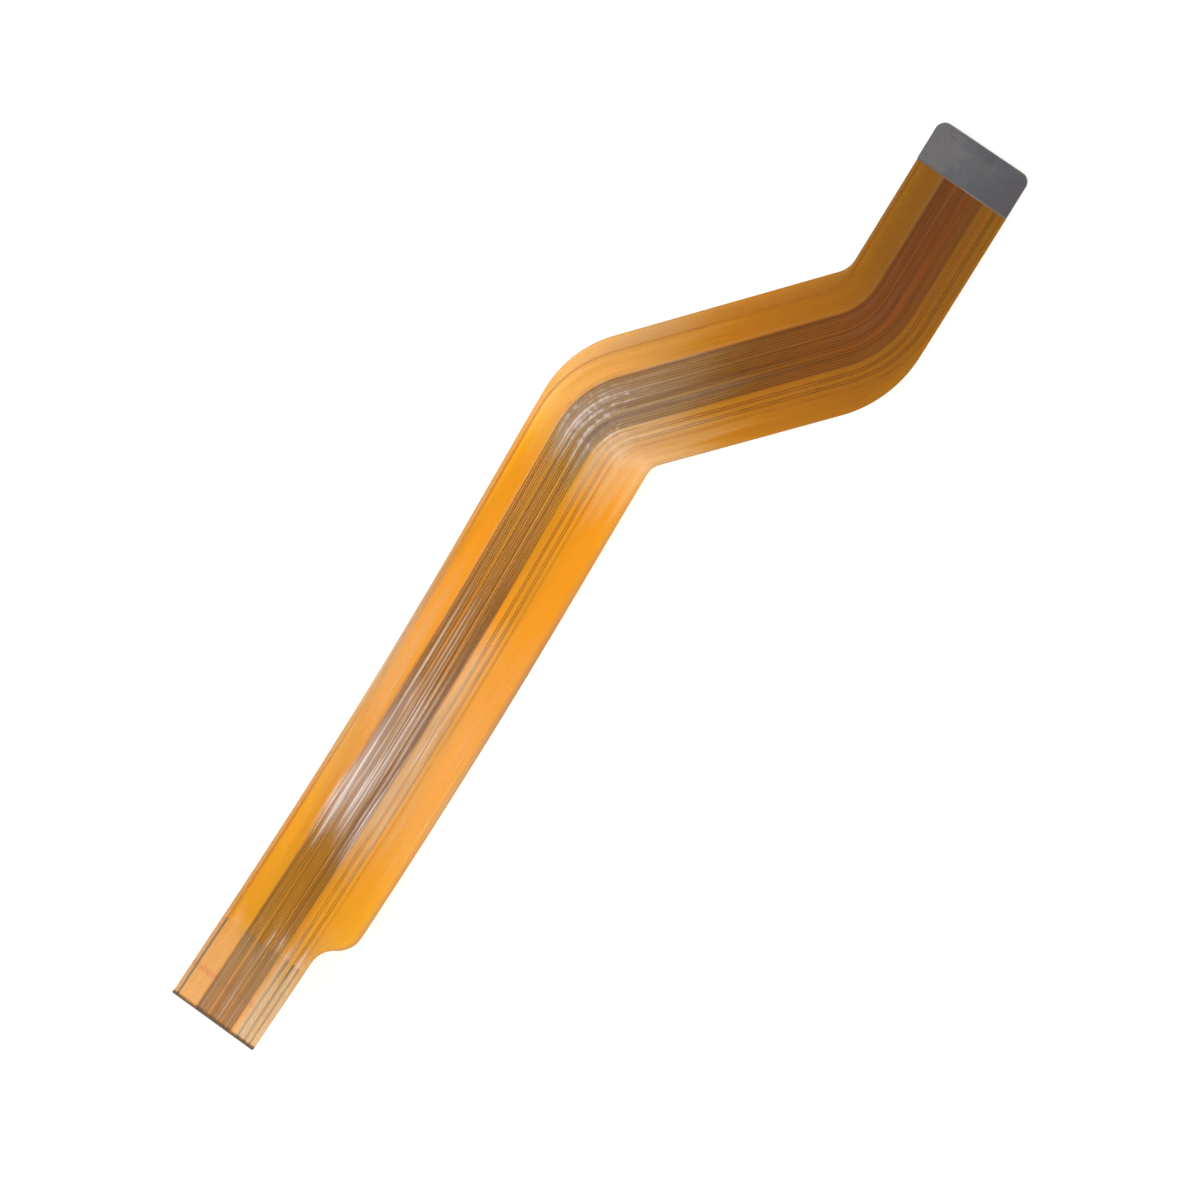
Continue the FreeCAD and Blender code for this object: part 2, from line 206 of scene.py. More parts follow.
# Painted sheen on the film: its colours, where the band's sheen is the cooler one, how much lies all over,
# and how much less over the tail's lines
WARM_SHEEN = (0.94, 0.79, 0.59, 1.0)
COOL_SHEEN = (0.92, 0.80, 0.73, 1.0)
COOL_SHEEN_STOPS = [
    (0.10, 0.0), (0.16, 1.0), (0.28, 1.0), (0.34, 0.0), (0.56, 0.0), (0.59, 1.0), (0.64, 1.0), (0.68, 0.0),
]
SHEEN_ALL_OVER = [
    (0.00, 0.26), (0.055, 0.18), (0.090, 0.0), (0.17, 0.0), (0.23, 0.06), (0.31, 0.06), (0.36, 0.01),
    (0.54, 0.0), (0.60, 0.07), (0.68, 0.03), (0.72, 0.0), (1.00, 0.0),
]
TAIL_SHEEN_LOSS = 0.5
SHEEN_PLACES = (
    # The left margin, a third of the way up
    ([(0.0, 0.16), (0.22, 0.10), (0.28, 0.0)],
     [(0.22, 0.0), (0.33, 1.0), (0.37, 1.0), (0.45, 0.0)]),
    # The right margin of the tail
    ([(0.74, 0.0), (0.84, 0.42)],
     [(0.05, 1.0), (0.085, 0.2), (0.12, 0.0)]),
    # To the right of the band in the lower long leg
    ([(0.70, 0.0), (0.76, 0.28), (0.86, 0.23), (0.97, 0.05)],
     [(0.15, 0.0), (0.22, 0.9), (0.38, 1.0), (0.42, 0.0)]),
    # The inner side of the lower bend
    ([(0.70, 0.0), (0.78, 0.34), (0.95, 0.30), (1.0, 0.25)],
     [(0.53, 0.0), (0.60, 1.0), (0.64, 0.6), (0.70, 0.0)]),
    # A thin line beside the band in the diagonal and the plug leg
    ([(0.250, 0.0), (0.260, 0.03), (0.266, 0.03), (0.274, 0.0)],
     [(0.66, 0.0), (0.74, 1.0), (0.95, 1.0), (0.98, 0.0)]),
    # The left part of the band in the lower long leg
    ([(0.28, 0.0), (0.36, 0.22), (0.52, 0.22), (0.62, 0.0)],
     [(0.17, 0.0), (0.23, 1.0), (0.27, 1.0), (0.33, 0.0)]),
    # The band at the lower bend
    ([(0.28, 0.0), (0.36, 0.10), (0.66, 0.10), (0.74, 0.0)],
     [(0.56, 0.0), (0.60, 1.0), (0.68, 0.5), (0.74, 0.0)]),
)
# Painted glints, as dark and pale reflection streaks: how strong they are along and across the film,
# and their tone and depth from the streaks
PAINTED_GLINTS = [
    (0.00, 0.40), (0.05, 0.25), (0.072, 0.60), (0.085, 0.03), (0.16, 0.05), (0.21, 0.75), (0.28, 0.60),
    (0.35, 0.06), (0.42, 0.01), (0.56, 0.01), (0.60, 0.62), (0.65, 0.25), (0.72, 0.02), (1.00, 0.02),
]
GLINT_LANES = [(0.22, 0.12), (0.30, 1.0), (0.78, 1.0), (0.92, 0.12)]
GLINT_TONES = [(0.36, (0.13, 0.075, 0.08)), (0.5, (0.55, 0.38, 0.30)), (0.62, (0.92, 0.80, 0.78))]
GLINT_DEPTHS = [(0.34, 0.8), (0.47, 0.05), (0.54, 0.05), (0.66, 1.0)]
GLINT_STREAK_SCALE = (34.0, 6.0)
# Creases at the lower bend, and their part in the painted glints and in the bump
CREASED_PLACE = [(0.57, 0.0), (0.60, 1.0), (0.63, 1.0), (0.66, 0.0)]
CREASE_SCALE = 1300.0
CREASES_IN_GLINTS = 0.45
CREASES_IN_BUMP = 2.4
# Streaks in the painted sheen and the gloss, and how far the places along the film wander
STREAK_SCALE = (22.0, 7.0)
WANDER_SCALE = (14.0, 7.0)
WANDER = 0.12
# Gloss of the film, with its roughness from the streaks. It is capped where it is seen at a flat angle
FILM_ROUGHNESS = [(0.35, 0.10), (0.65, 0.15)]
FILM_BUMP_STRENGTH = 0.2
FILM_BUMP_DEPTH = 0.02 * MM
FILM_IOR = 1.25
MOST_GLOSS = 0.25

# Width of the line of painted shade at the tail's cut end, how strong it is, and the share of its own
# colour that the clear stiffening film has
END_SHADE_WIDTH = 0.28
END_SHADE_SHARE = 0.85
STIFFENER_TINT_SHARE = 0.08

# Scales of a copper line's marks
COPPER_MARK_SCALE = (900.0, 120.0, 900.0)
# A marked surface: its marks' scale along X as a part of the others, the scale of its patches, and
# their parts in its tone
MARK_STRETCH = 0.08
PATCH_SCALE = 420.0
MARK_SHARE = 0.4
PATCH_SHARE = 1.5

# Camera, found by fitting the film's outline to the photograph
CAMERA_ELEVATION = math.radians(67.58)
CAMERA_AZIMUTH = math.radians(63.47)
CAMERA_ROLL = math.radians(31.3)
CAMERA_AIM = (-9.21, -58.45, 1.0)
CAMERA_DISTANCE = 600.0
FRAME_WIDTH = 120.0
SENSOR_WIDTH = 36.0

# The floor's half size, and its glow as stops of the distance from the origin, in metres
FLOOR_HALF = 1.5
FLOOR_GLOW = [(0.18, 0.62), (0.5, 1.0)]
# What the world gives to the rays that don't meet the white background
WORLD_LIGHT = 0.16
# The two soft lamps, as (name, place, power), with their aim and size, in metres
LAMPS = (("key", (-0.42, -0.22, 0.40), 2.9), ("fill", (0.38, 0.28, 0.42), 2.3))
LAMP_AIM = (-0.01, -0.06, 0)
LAMP_SIZE = 0.45
# Small lamps that the film mirrors, as (name, x, y, side angle, width lit, strength)
GLARES = (
    ("tail_glare", -20.5, -115.0, math.radians(6.0), 24.0, 26.0),
    ("low_leg_glare", -18.5, -91.0, math.radians(7.0), 24.0, 54.0),
    ("high_leg_glare", -18.0, -81.0, math.radians(7.0), 20.0, 32.0),
    ("bend_glare", -18.0, -42.0, math.radians(7.0), 18.0, 16.0),
)
# Their distance from the film and their radius, in metres
GLARE_DISTANCE = 0.35
GLARE_RADIUS = 0.025

LEFT_X = -PLUG_LEG_WIDTH / 2
LONG_LEFT_X = -LONG_LEG_OFFSET - LONG_LEG_WIDTH / 2
CORNER_Y = OUTER_EDGE_Y - OUTER_CORNER_RADIUS
DIAGONAL_WAY = Vector((-math.sin(DIAGONAL_ANGLE), -math.cos(DIAGONAL_ANGLE)))
DIAGONAL_SIDE = Vector((math.cos(DIAGONAL_ANGLE), -math.sin(DIAGONAL_ANGLE)))
RIGHT_EDGE = (PLUG_LEG_WIDTH, DIAGONAL_WIDTH, LONG_LEG_WIDTH)


def rest_pieces():
    """Lines and arcs of the underside at rest, as (kind, y, z, slope, size, end slope), plug first."""
    touch_radius = (TOUCH_FROM_END - TAIL_STIFFENER_LENGTH) / math.sin(TAIL_RISE)
    height = HOUSING_HEIGHT + SEAT_RADIUS * (1 - math.cos(CLIMB)) + CLIMB_RUN * math.sin(CLIMB)
    height += HUMP_RADIUS * (math.cos(FALL) - math.cos(CLIMB)) - touch_radius * (1 - math.cos(FALL))
    fall_run = height / math.sin(FALL)
    reach = SEAT_RADIUS * math.sin(CLIMB) + CLIMB_RUN * math.cos(CLIMB)
    reach += HUMP_RADIUS * (math.sin(CLIMB) + math.sin(FALL))
    reach += fall_run * math.cos(FALL) + touch_radius * math.sin(FALL)
    start = OUTER_EDGE_Y + PLUG_OVERRUN
    level_run = start - (TAIL_Y + TOUCH_FROM_END + reach)
    moves = [("line", level_run, 0.0), ("arc", SEAT_RADIUS, CLIMB), ("line", CLIMB_RUN, CLIMB)]
    moves += [("arc", HUMP_RADIUS, -FALL), ("line", fall_run, -FALL), ("arc", touch_radius, TAIL_RISE)]
    moves += [("line", TAIL_STIFFENER_LENGTH * 2, TAIL_RISE)]
    pieces = []
    y, z, slope = start, HOUSING_HEIGHT, 0.0
    for kind, size, end_slope in moves:
        pieces.append((kind, y, z, slope, size, end_slope))
        if kind == "line":
            y -= size * math.cos(slope)
            z += size * math.sin(slope)
        else:
            turn = 1 if end_slope > slope else -1
            y -= turn * size * (math.sin(end_slope) - math.sin(slope))
            z += turn * size * (math.cos(slope) - math.cos(end_slope))
        slope = end_slope
    return pieces


REST_PIECES = rest_pieces()


def rest_at(y):
    """Height and slope of the underside at this y."""
    piece = [p for p in REST_PIECES if p[1] >= y][-1]
    kind, start_y, start_z, slope, size, end_slope = piece
    if kind == "line":
        return start_z + (start_y - y) * math.tan(slope), slope
    turn = 1 if end_slope > slope else -1
    here = math.asin(math.sin(slope) + turn * (start_y - y) / size)
    return start_z + turn * size * (math.cos(slope) - math.cos(here)), here


def on_film(x, y, level):
    """Point at this level above the underside, in metres."""
    z, slope = rest_at(y)
    return Vector((x, y + math.sin(slope) * level, z + math.cos(slope) * level)) * MM


def spread(start, end, count):
    """Values from start towards end, evenly spaced, without the end."""
    return [start + (end - start) * index / count for index in range(count)]


def step_edge():
    """The curves of the right edge at the step, as (y, width) points going up."""
    run = (LONG_LEG_WIDTH - TAIL_WIDTH) / math.tan(STEP_ANGLE)
    middle = TAIL_Y + STEP_FROM_END
    reach = STEP_RADIUS * math.tan(STEP_ANGLE / 2)
    low_curve = []
    high_curve = []
    for part in range(STEP_CURVE_COUNT + 1):
        angle = STEP_ANGLE * part / STEP_CURVE_COUNT
        rise = STEP_RADIUS * math.sin(angle) - reach
        out = STEP_RADIUS * (1 - math.cos(angle))
        low_curve.append((middle - run / 2 + rise, TAIL_WIDTH + out))
        high_curve.append((middle + run / 2 - rise, LONG_LEG_WIDTH - out))
    return low_curve + high_curve[::-1]


STEP_EDGE = step_edge()


def edge_width(y):
    """Width of the long leg and the tail at this y."""
    if y <= STEP_EDGE[0][0]:
        return TAIL_WIDTH
    for (low, low_width), (high, high_width) in zip(STEP_EDGE, STEP_EDGE[1:]):
        if y <= high:
            return low_width + (high_width - low_width) * (y - low) / (high - low)
    return LONG_LEG_WIDTH


def lane_radii(diagonal_place):
    """Bend radii of a lane at the lower and the upper bend; edges of the film have their own."""
    lower = LOWER_INNER_RADIUS + DIAGONAL_WIDTH - diagonal_place
    upper = UPPER_INNER_RADIUS + diagonal_place
    first = LEFT_GUARD[0][1]
    last = RIGHT_GUARD[0][1]
    if diagonal_place < first:
        at_guard = LOWER_INNER_RADIUS + DIAGONAL_WIDTH - first
        lower = LOWER_OUTER_RADIUS + (at_guard - LOWER_OUTER_RADIUS) * diagonal_place / first
    if diagonal_place > last:
        part = (diagonal_place - last) / (DIAGONAL_WIDTH - last)
        upper = UPPER_INNER_RADIUS + last + (UPPER_OUTER_RADIUS - UPPER_INNER_RADIUS - last) * part
    return lower, upper


def bend(corner, before, after, radius):
    """Points of the tangent arc at a corner, from the side of before to the side of after."""
    one = (before - corner).normalized()
    two = (after - corner).normalized()
    half = one.angle(two) / 2
    middle = (one + two).normalized()
    centre = corner + middle * (radius / math.sin(half))
    start = corner + one * (radius / math.tan(half)) - centre
    end = corner + two * (radius / math.tan(half)) - centre
    total = start.angle(end)
    turn = 1 if start.x * end.y - start.y * end.x > 0 else -1
    first = math.atan2(start.y, start.x)
    points = []
    for index in range(BEND_COUNT + 1):
        angle = first + turn * total * index / BEND_COUNT
        points.append(centre + Vector((math.cos(angle), math.sin(angle))) * radius)
    return points


def plug_stations():
    """The y of every station by the plug: up to the window, along it, and round the outer corner."""
    stations = spread(PLUG_BLOCK_Y, -WINDOW_Y, PLUG_BLOCK_COUNT)
    stations += spread(-WINDOW_Y, CORNER_Y, WINDOW_COUNT)
    stations += spread(CORNER_Y, WINDOW_Y, WINDOW_END_COUNT)
    turn_start = math.asin((WINDOW_Y - CORNER_Y) / OUTER_CORNER_RADIUS)
    for index in range(CORNER_COUNT + 1):
        angle = turn_start + (math.pi / 2 - turn_start) * index / CORNER_COUNT
        stations.append(CORNER_Y + OUTER_CORNER_RADIUS * math.sin(angle))
    return stations


PLUG_STATIONS = plug_stations()


def tail_points(long_place):
    """Points of a lane in the tail and the step; past the right guard line it follows the edge."""
    guard = RIGHT_GUARD[0][2] + RIGHT_GUARD[1] / 2
    points = []
    for y in spread(TAIL_Y, TAIL_Y + TAIL_BLOCK, TAIL_BLOCK_COUNT):
        place = long_place
        if long_place > guard:
            place = guard + (long_place - guard) * (edge_width(y) - guard) / (LONG_LEG_WIDTH - guard)
        points.append((LONG_LEFT_X + place, y))
    return points


def plug_points(plug_x):
    """Points of a lane by the plug, drawn in where the film's outer corners are rounded."""
    points = []
    for y in PLUG_STATIONS:
        rise = min(max(y - CORNER_Y, 0.0) / OUTER_CORNER_RADIUS, 1.0)
        inset = OUTER_CORNER_RADIUS * (1 - math.sqrt(1 - rise * rise))
        points.append((plug_x * (1 - inset / (PLUG_LEG_WIDTH / 2)), y))
    return points


def lane_points(places):
    """The plan points of a lane at every station, from the tail's end to the plug's outer edge."""
    plug_place, diagonal_place, long_place = places
    line = Vector((LEFT_X, -DIAGONAL_START)) + DIAGONAL_SIDE * diagonal_place
    long_x = LONG_LEFT_X + long_place
    plug_x = LEFT_X + plug_place
    low_corner = line + DIAGONAL_WAY * ((long_x - line.x) / DIAGONAL_WAY.x)
    high_corner = line + DIAGONAL_WAY * ((plug_x - line.x) / DIAGONAL_WAY.x)
    lower, upper = lane_radii(diagonal_place)
    low_bend = bend(low_corner, Vector((long_x, TAIL_Y)), high_corner, lower)
    high_bend = bend(high_corner, low_corner, Vector((plug_x, OUTER_EDGE_Y)), upper)
    points = tail_points(long_place)
    points += [(long_x, y) for y in spread(TAIL_Y + TAIL_BLOCK, low_bend[0].y, LONG_COUNT)]
    points += [(p.x, p.y) for p in low_bend]
    run = high_bend[0] - low_bend[-1]
    points += [tuple(low_bend[-1] + run * index / DIAGONAL_COUNT) for index in range(1, DIAGONAL_COUNT)]
    points += [(p.x, p.y) for p in high_bend]
    points += [(plug_x, y) for y in spread(high_bend[-1].y, PLUG_BLOCK_Y, PLUG_LEG_COUNT)[1:]]
    return points + plug_points(plug_x)


def shifted(places, distance):
    """A lane's places, moved across the film."""
    return tuple(place + distance for place in places)


def between(one, two, part):
    """The places of a lane at this part of the way from one to two."""
    return tuple(a + (b - a) * part for a, b in zip(one, two))


def signal_line(bundle, line):
    """A fine line of the band; in an odd slot it passes between near pads and ends on a far one."""
    slot = FIRST_SLOT_OF_BUNDLE[bundle] + line
    places = (FIRST_SLOT_PLACE + SLOT_PITCH * slot,
              DIAGONAL_BUNDLE_START[bundle] + DIAGONAL_PITCH * line,
              LONG_BUNDLE_START[bundle] + LONG_PITCH * line)
    ends = [(0, NEAR_PAD_Y)]
    if slot % 2:
        ends += [(-SLOT_PITCH, NEAR_PAD_Y + JOG), (-SLOT_PITCH, FAR_PAD_Y)]
    return f"signal_line_{bundle * LINES_PER_BUNDLE + line + 1:02d}", places, FINE_WIDTH, ends


def power_line(index):
    """A wide line, which jogs sideways before it ends on a near pad."""
    places = POWER_PLACES[index]
    move = POWER_END_PLACES[index] - places[0]
    ends = [(0, POWER_JOG_Y), (move, POWER_JOG_Y + 2 * JOG), (move, NEAR_PAD_Y)]
    return f"power_line_{index + 1}", places, POWER_WIDTH, ends


def conductors():
    """Every copper line as (node, places, width, end points by the plug), from left to right."""
    lines = [("left_guard_line", *LEFT_GUARD, [(0, GUARD_END_Y)])]
    for bundle in range(len(FIRST_SLOT_OF_BUNDLE)):
        lines += [signal_line(bundle, line) for line in range(LINES_PER_BUNDLE)]
    lines += [power_line(index) for index in range(len(POWER_PLACES))]
    return lines + [("right_guard_line", *RIGHT_GUARD, [(0, GUARD_END_Y)])]


CONDUCTORS = conductors()


def film_lanes(foot, crest):
    """Lanes across the film as (places, height), where height goes from 0 to 1 over the copper.

    foot and crest say how far beyond a line's sides the height is still 0 and already 1. The film's
    right edge closes the list, as a line without width.
    """
    lanes = [((0.0, 0.0, 0.0), 0.0)]
    for name, places, width, ends in CONDUCTORS + [("", RIGHT_EDGE, 0.0, [])]:
        left_side = shifted(places, -width / 2 - foot) if width else places
        last = lanes[-1][0]
        count = max(1, round((left_side[1] - last[1]) / LANE_SPACING))
        lanes += [(between(last, left_side, part / count), 0.0) for part in range(1, count + 1)]
        if width:
            height = 1.0 if width == FINE_WIDTH else WIDE_LINE_RELIEF
            lanes.append((shifted(places, -width / 2 - crest), height))
            lanes.append((shifted(places, width / 2 + crest), height))
            lanes.append((shifted(places, width / 2 + foot), 0.0))
    return lanes


def new_piece(name, verts, faces, kinds, materials):
    """A mesh object; kinds are its faces' places in materials."""
    mesh = bpy.data.meshes.new(name)
    mesh.from_pydata(verts, [], faces)
    for material in materials:
        mesh.materials.append(material)
    mesh.polygons.foreach_set("material_index", kinds)
    piece = bpy.data.objects.new(name, mesh)
    bpy.context.collection.objects.link(piece)
    return piece


def clean_mesh(mesh):
    """Drops the grid points that no face uses, and turns every face outwards."""
    work = bmesh.new()
    work.from_mesh(mesh)
    loose = [vertex for vertex in work.verts if not vertex.link_faces]
    bmesh.ops.delete(work, geom=loose, context="VERTS")
    bmesh.ops.recalc_face_normals(work, faces=work.faces)
    work.to_mesh(mesh)
    work.free()


def kept_cells(columns, keep):
    """Cells of the grid as (lane, station), where keep(x, y) holds at their middle."""
    cells = set()
    for i in range(len(columns) - 1):
        for j in range(len(columns[0]) - 1):
            x = (columns[i][j][0] + columns[i + 1][j][0]) / 2
            y = (columns[i][j][1] + columns[i][j + 1][1]) / 2
            if keep(x, y):
                cells.add((i, j))
    return cells


def slab_faces(columns, cells, kinds_at):
    """Faces above, below and around the cells, with each one's place in the materials."""
    rows = len(columns[0])
    below = rows * len(columns)
    faces = []
    kinds = []
    for i, j in sorted(cells):
        a = i * rows + j
        b = a + rows
        c = b + 1
        d = a + 1
        faces.append((a, b, c, d))
        faces.append((below + d, below + c, below + b, below + a))
        kinds += kinds_at(*columns[i][j])
        sides = (((i, j - 1), b, a), ((i + 1, j), c, b), ((i, j + 1), d, c), ((i - 1, j), a, d))
        for neighbour, p, q in sides:
            if neighbour not in cells:
                faces.append((p, q, below + q, below + p))
                kinds.append(EDGE)
    return faces, kinds


def map_lanes(mesh, lanes, rows):
    """Writes the lanes map; a corner's lane and station follow from its point's number."""
    middle = lane_points(tuple(width / 2 for width in RIGHT_EDGE))
    lengths = [0.0]
    for (x0, y0), (x1, y1) in zip(middle, middle[1:]):
        lengths.append(lengths[-1] + math.hypot(x1 - x0, y1 - y0))
    layer = mesh.uv_layers.new(name="lanes")
    for loop in mesh.loops:
        lane, station = divmod(loop.vertex_index % (rows * len(lanes)), rows)
        layer.data[loop.index].uv = (lanes[lane][0][2] * U_PER_MM, lengths[station] * V_PER_MM)


def slab(name, lanes, top_level, low_level, keep, kinds_at, materials):
    """Closed slab over the grid of lanes and stations, where keep(x, y) holds.

    top_level and low_level give a level from a lane's height and y. kinds_at(x, y) gives the places
    in materials of the faces above and below; the cut edges take the edge material.
    """
    columns = [lane_points(places) for places, height in lanes]
    verts = []
    for level_at in (top_level, low_level):
        for (places, height), column in zip(lanes, columns):
            verts += [on_film(x, y, level_at(height, y)) for x, y in column]
    faces, kinds = slab_faces(columns, kept_cells(columns, keep), kinds_at)
    piece = new_piece(name, verts, faces, kinds, materials)
    piece.data.polygons.foreach_set("use_smooth", [kind != EDGE for kind in kinds])
    map_lanes(piece.data, lanes, len(columns[0]))
    piece.data.update()
    clean_mesh(piece.data)
    return piece


def ribbon_columns(places, width, ends):
    """Plan points of a copper line's two sides, and of its rims' inner sides if it is a wide one."""
    offsets = [-width / 2, width / 2]
    if width == POWER_WIDTH:
        offsets[1:1] = [RIM_WIDTH - width / 2, width / 2 - RIM_WIDTH]
    lean = 0.0
    if len(ends) == 3:
        sideways = ends[1][0]
        lean = math.copysign(math.tan(math.atan2(abs(sideways), ends[1][1] - ends[0][1]) / 2), sideways)
    columns = []
    for offset in offsets:
        points = [(x, y) for x, y in lane_points(shifted(places, offset))
                  if y < PLUG_BLOCK_Y or y < ends[0][1] - END_ROOM]
        for index, (move, y) in enumerate(ends):
            mitre = offset * lean if index < 2 else 0.0
            points.append((LEFT_X + places[0] + move + offset, y + mitre))
        columns.append(points)
    return columns


def ribbon_faces(columns):
    """Faces of the closed ribbon through the columns, with each one's place in its materials."""
    rows = len(columns[0])
    below = rows * len(columns)
    rimmed = len(columns) > 2
    faces = []
    kinds = []
    for i in range(len(columns) - 1):
        a = i * rows
        b = a + rows
        strip = [(a, below + a, below + b, b)]
        for j in range(rows - 1):
            strip.append((a + j, b + j, b + j + 1, a + j + 1))
            strip.append((below + a + j, below + a + j + 1, below + b + j + 1, below + b + j))
        a += rows - 1
        b += rows - 1
        strip.append((a, b, below + b, below + a))
        faces += strip
        kinds += [RIM if rimmed and i != 1 else FACE] * len(strip)
    for side in (0, below - rows):
        for j in range(side, side + rows - 1):
            faces.append((j, j + 1, below + j + 1, below + j))
            kinds.append(RIM if rimmed else FACE)
    return faces, kinds


def copper_ribbon(name, places, width, ends, materials):
    """One copper line with its last stretch by the plug; a wide line has a dark rim of painted shade along
    each side.
    """
    columns = ribbon_columns(places, width, ends)
    verts = []
    for level in (COPPER_TOP, COPPER_LOW):
        for points in columns:
            verts += [on_film(x, y, level) for x, y in points]
    faces, kinds = ribbon_faces(columns)
    piece = new_piece(name, verts, faces, kinds, materials)
    clean_mesh(piece.data)
    return piece


class Nodes:
    """A material's node tree, with short calls to add and join nodes."""

    def __init__(self, name):
        self.material = bpy.data.materials.new(name)
        self.material.use_nodes = True
        self.tree = self.material.node_tree
        self.tree.nodes.clear()
        self.output = self.tree.nodes.new("ShaderNodeOutputMaterial")

    def add(self, kind, settings=None, **inputs):
        """A new node; inputs are named as its sockets, with _ for a space."""
        node = self.tree.nodes.new(kind)
        for key, value in (settings or {}).items():
            setattr(node, key, value)
        for key, value in inputs.items():
            self.set(node, key.replace("_", " "), value)
        return node

    def set(self, node, key, value):
        """Sets or links an input, by its name or, after a #, its number."""
        socket = node.inputs[int(key[1:])] if key[0] == "#" else node.inputs[key]
        if isinstance(value, bpy.types.NodeSocket):
            self.tree.links.new(value, socket)
        else:
            socket.default_value = value

    def ramp(self, value, stops):
        """A colour from value, by stops of (place, colour)."""
        node = self.add("ShaderNodeValToRGB", Fac=value)
        elements = node.color_ramp.elements
        while len(elements) < len(stops):
            elements.new(0.5)
        for element, (place, colour) in zip(elements, stops):
            element.position = place
            element.color = (*colour, 1.0)
        return node.outputs["Color"]

    def greys(self, value, stops):
        """A level from value, by stops of (place, level)."""
        return self.ramp(value, [(place, (level, level, level)) for place, level in stops])

    def math(self, operation, one, two=0.0):
        node = self.add("ShaderNodeMath", {"operation": operation})
        self.set(node, "#0", one)
        self.set(node, "#1", two)
        return node.outputs[0]

    def blend(self, factor, one, two, blend_type="MIX"):
        """A colour that factor leads from one to two or, with MULTIPLY, to their product."""
        node = self.add("ShaderNodeMix", {"data_type": "RGBA", "blend_type": blend_type})
        self.set(node, "#0", factor)
        self.set(node, "#6", one)
        self.set(node, "#7", two)
        return node.outputs[2]

    def layer(self, factor, under, over):
        """A shader that factor leads from under to over."""
        node = self.add("ShaderNodeMixShader", Fac=factor)
        self.set(node, "#1", under.outputs[0])
        self.set(node, "#2", over.outputs[0])
        return node

    def object_place(self):
        return self.add("ShaderNodeTexCoord").outputs["Object"]

    def scaled(self, place, scale):
        return self.add("ShaderNodeMapping", Vector=place, Scale=scale).outputs["Vector"]

    def noise(self, place, scale, detail, roughness=0.5):
        """Noise at this place or, if it is None, at the piece's generated coordinates."""
        node = self.add("ShaderNodeTexNoise", Scale=scale, Detail=detail, Roughness=roughness)
        if place is not None:
            self.set(node, "Vector", place)
        return node.outputs["Fac"]

    def surface(self, shader):
        """The material, with this shader as its surface."""
        self.tree.links.new(shader.outputs[0], self.output.inputs["Surface"])
        return self.material


class FilmNodes(Nodes):
    """Nodes of a film's look, with the values that its layers share."""

    def __init__(self, name):
        super().__init__(name)
        self.lanes = self.add("ShaderNodeUVMap", {"uv_map": "lanes"}).outputs["UV"]
        split = self.add("ShaderNodeSeparateXYZ", Vector=self.lanes)
        self.across = split.outputs["X"]
        wander = self.math("MULTIPLY", self.math("SUBTRACT", self.drawn_out(WANDER_SCALE), 0.5), WANDER)
        self.along = self.math("MULTIPLY", self.math("ADD", split.outputs["Y"], wander), 1 / FILM_LENGTH)
        backfacing = self.add("ShaderNodeNewGeometry").outputs["Backfacing"]
        self.front = self.math("SUBTRACT", 1.0, backfacing)
        self.streaks = self.drawn_out(STREAK_SCALE)
        self.stripes = self.drawn_out(STRIPE_SCALE)
        self.over_lines = self.greys(self.across, OVER_LINES)
        self.tail_band = self.math("MULTIPLY", self.over_lines, self.greys(self.along, TAIL_BAND))

    def drawn_out(self, scale, detail=3.0):
        """Noise drawn out along the lines; scale holds its scales across and along the lanes map."""
        return self.noise(self.scaled(self.lanes, (*scale, 1.0)), 1.0, detail, roughness=0.55)

    def patch(self, across_stops, along_stops):
        """How strong something is at a place on the film, across the lanes times along them."""
        return self.math("MULTIPLY", self.greys(self.across, across_stops),
                         self.greys(self.along, along_stops))

    def edge_shade_and_sheen(self):
        """How much painted shade and sheen the film has by its nearer edge."""
        from_right = self.math("SUBTRACT", LONG_LEG_WIDTH * U_PER_MM, self.across)
        from_edge = self.math("MINIMUM", self.across, from_right)
        return self.math("MULTIPLY", self.greys(from_edge, EDGE_SHADE_AND_SHEEN[0]),
                         self.greys(self.along, EDGE_SHADE_AND_SHEEN[1]))

    def creases(self):
        """Crumpled relief at the lower bend, around 0."""
        crumple = self.noise(self.object_place(), CREASE_SCALE, 3.0)
        return self.math("MULTIPLY", self.math("SUBTRACT", crumple, 0.5),
                         self.greys(self.along, CREASED_PLACE))


def film_tint_and_shade(film, edge_shade_and_sheen):
    """What one face of the film lets through, with its painted shade and light and its dark places."""
    tint = film.ramp(film.along, SEE_THROUGH_AND_SHADE)
    for across_stops, along_stops, lit_tint in PAINTED_LIGHT_PLACES:
        tint = film.blend(film.patch(across_stops, along_stops), tint, lit_tint)
    lighter_shade = film.math("MULTIPLY", film.patch(*LIGHTER_BAND_SHADE), LIGHTER_BAND_SHADE_SHARE)
    band_weight = film.math("MULTIPLY", film.over_lines, film.math("SUBTRACT", 1.0, lighter_shade))
    tint = film.blend(band_weight, tint, film.ramp(film.along, BAND_SHADE), "MULTIPLY")
    dark = film.math("MULTIPLY", film.over_lines, film.greys(film.stripes, DARK_STRIPES))
    for dark_place in DARK_PLACES:
        dark = film.math("MAXIMUM", dark, film.patch(*dark_place))
    dark = film.math("MAXIMUM", dark, film.math("MULTIPLY", edge_shade_and_sheen, EDGE_SHADE_DARKNESS))
    return film.blend(dark, tint, DARK_TINT, "MULTIPLY")


def film_body(film, tint):
    """The see-through film with its own dull colour, which is stronger over the tail's lines."""
    clear = film.add("ShaderNodeBsdfTransparent", Color=tint)
    dull = film.add("ShaderNodeBsdfPrincipled", Base_Color=BODY_COLOUR, Roughness=0.45)
    share = film.math("ADD", film.math("MULTIPLY", film.tail_band, TAIL_BODY_SHARE), BODY_SHARE)
    return film.layer(film.math("MULTIPLY", film.front, share), clear, dull)


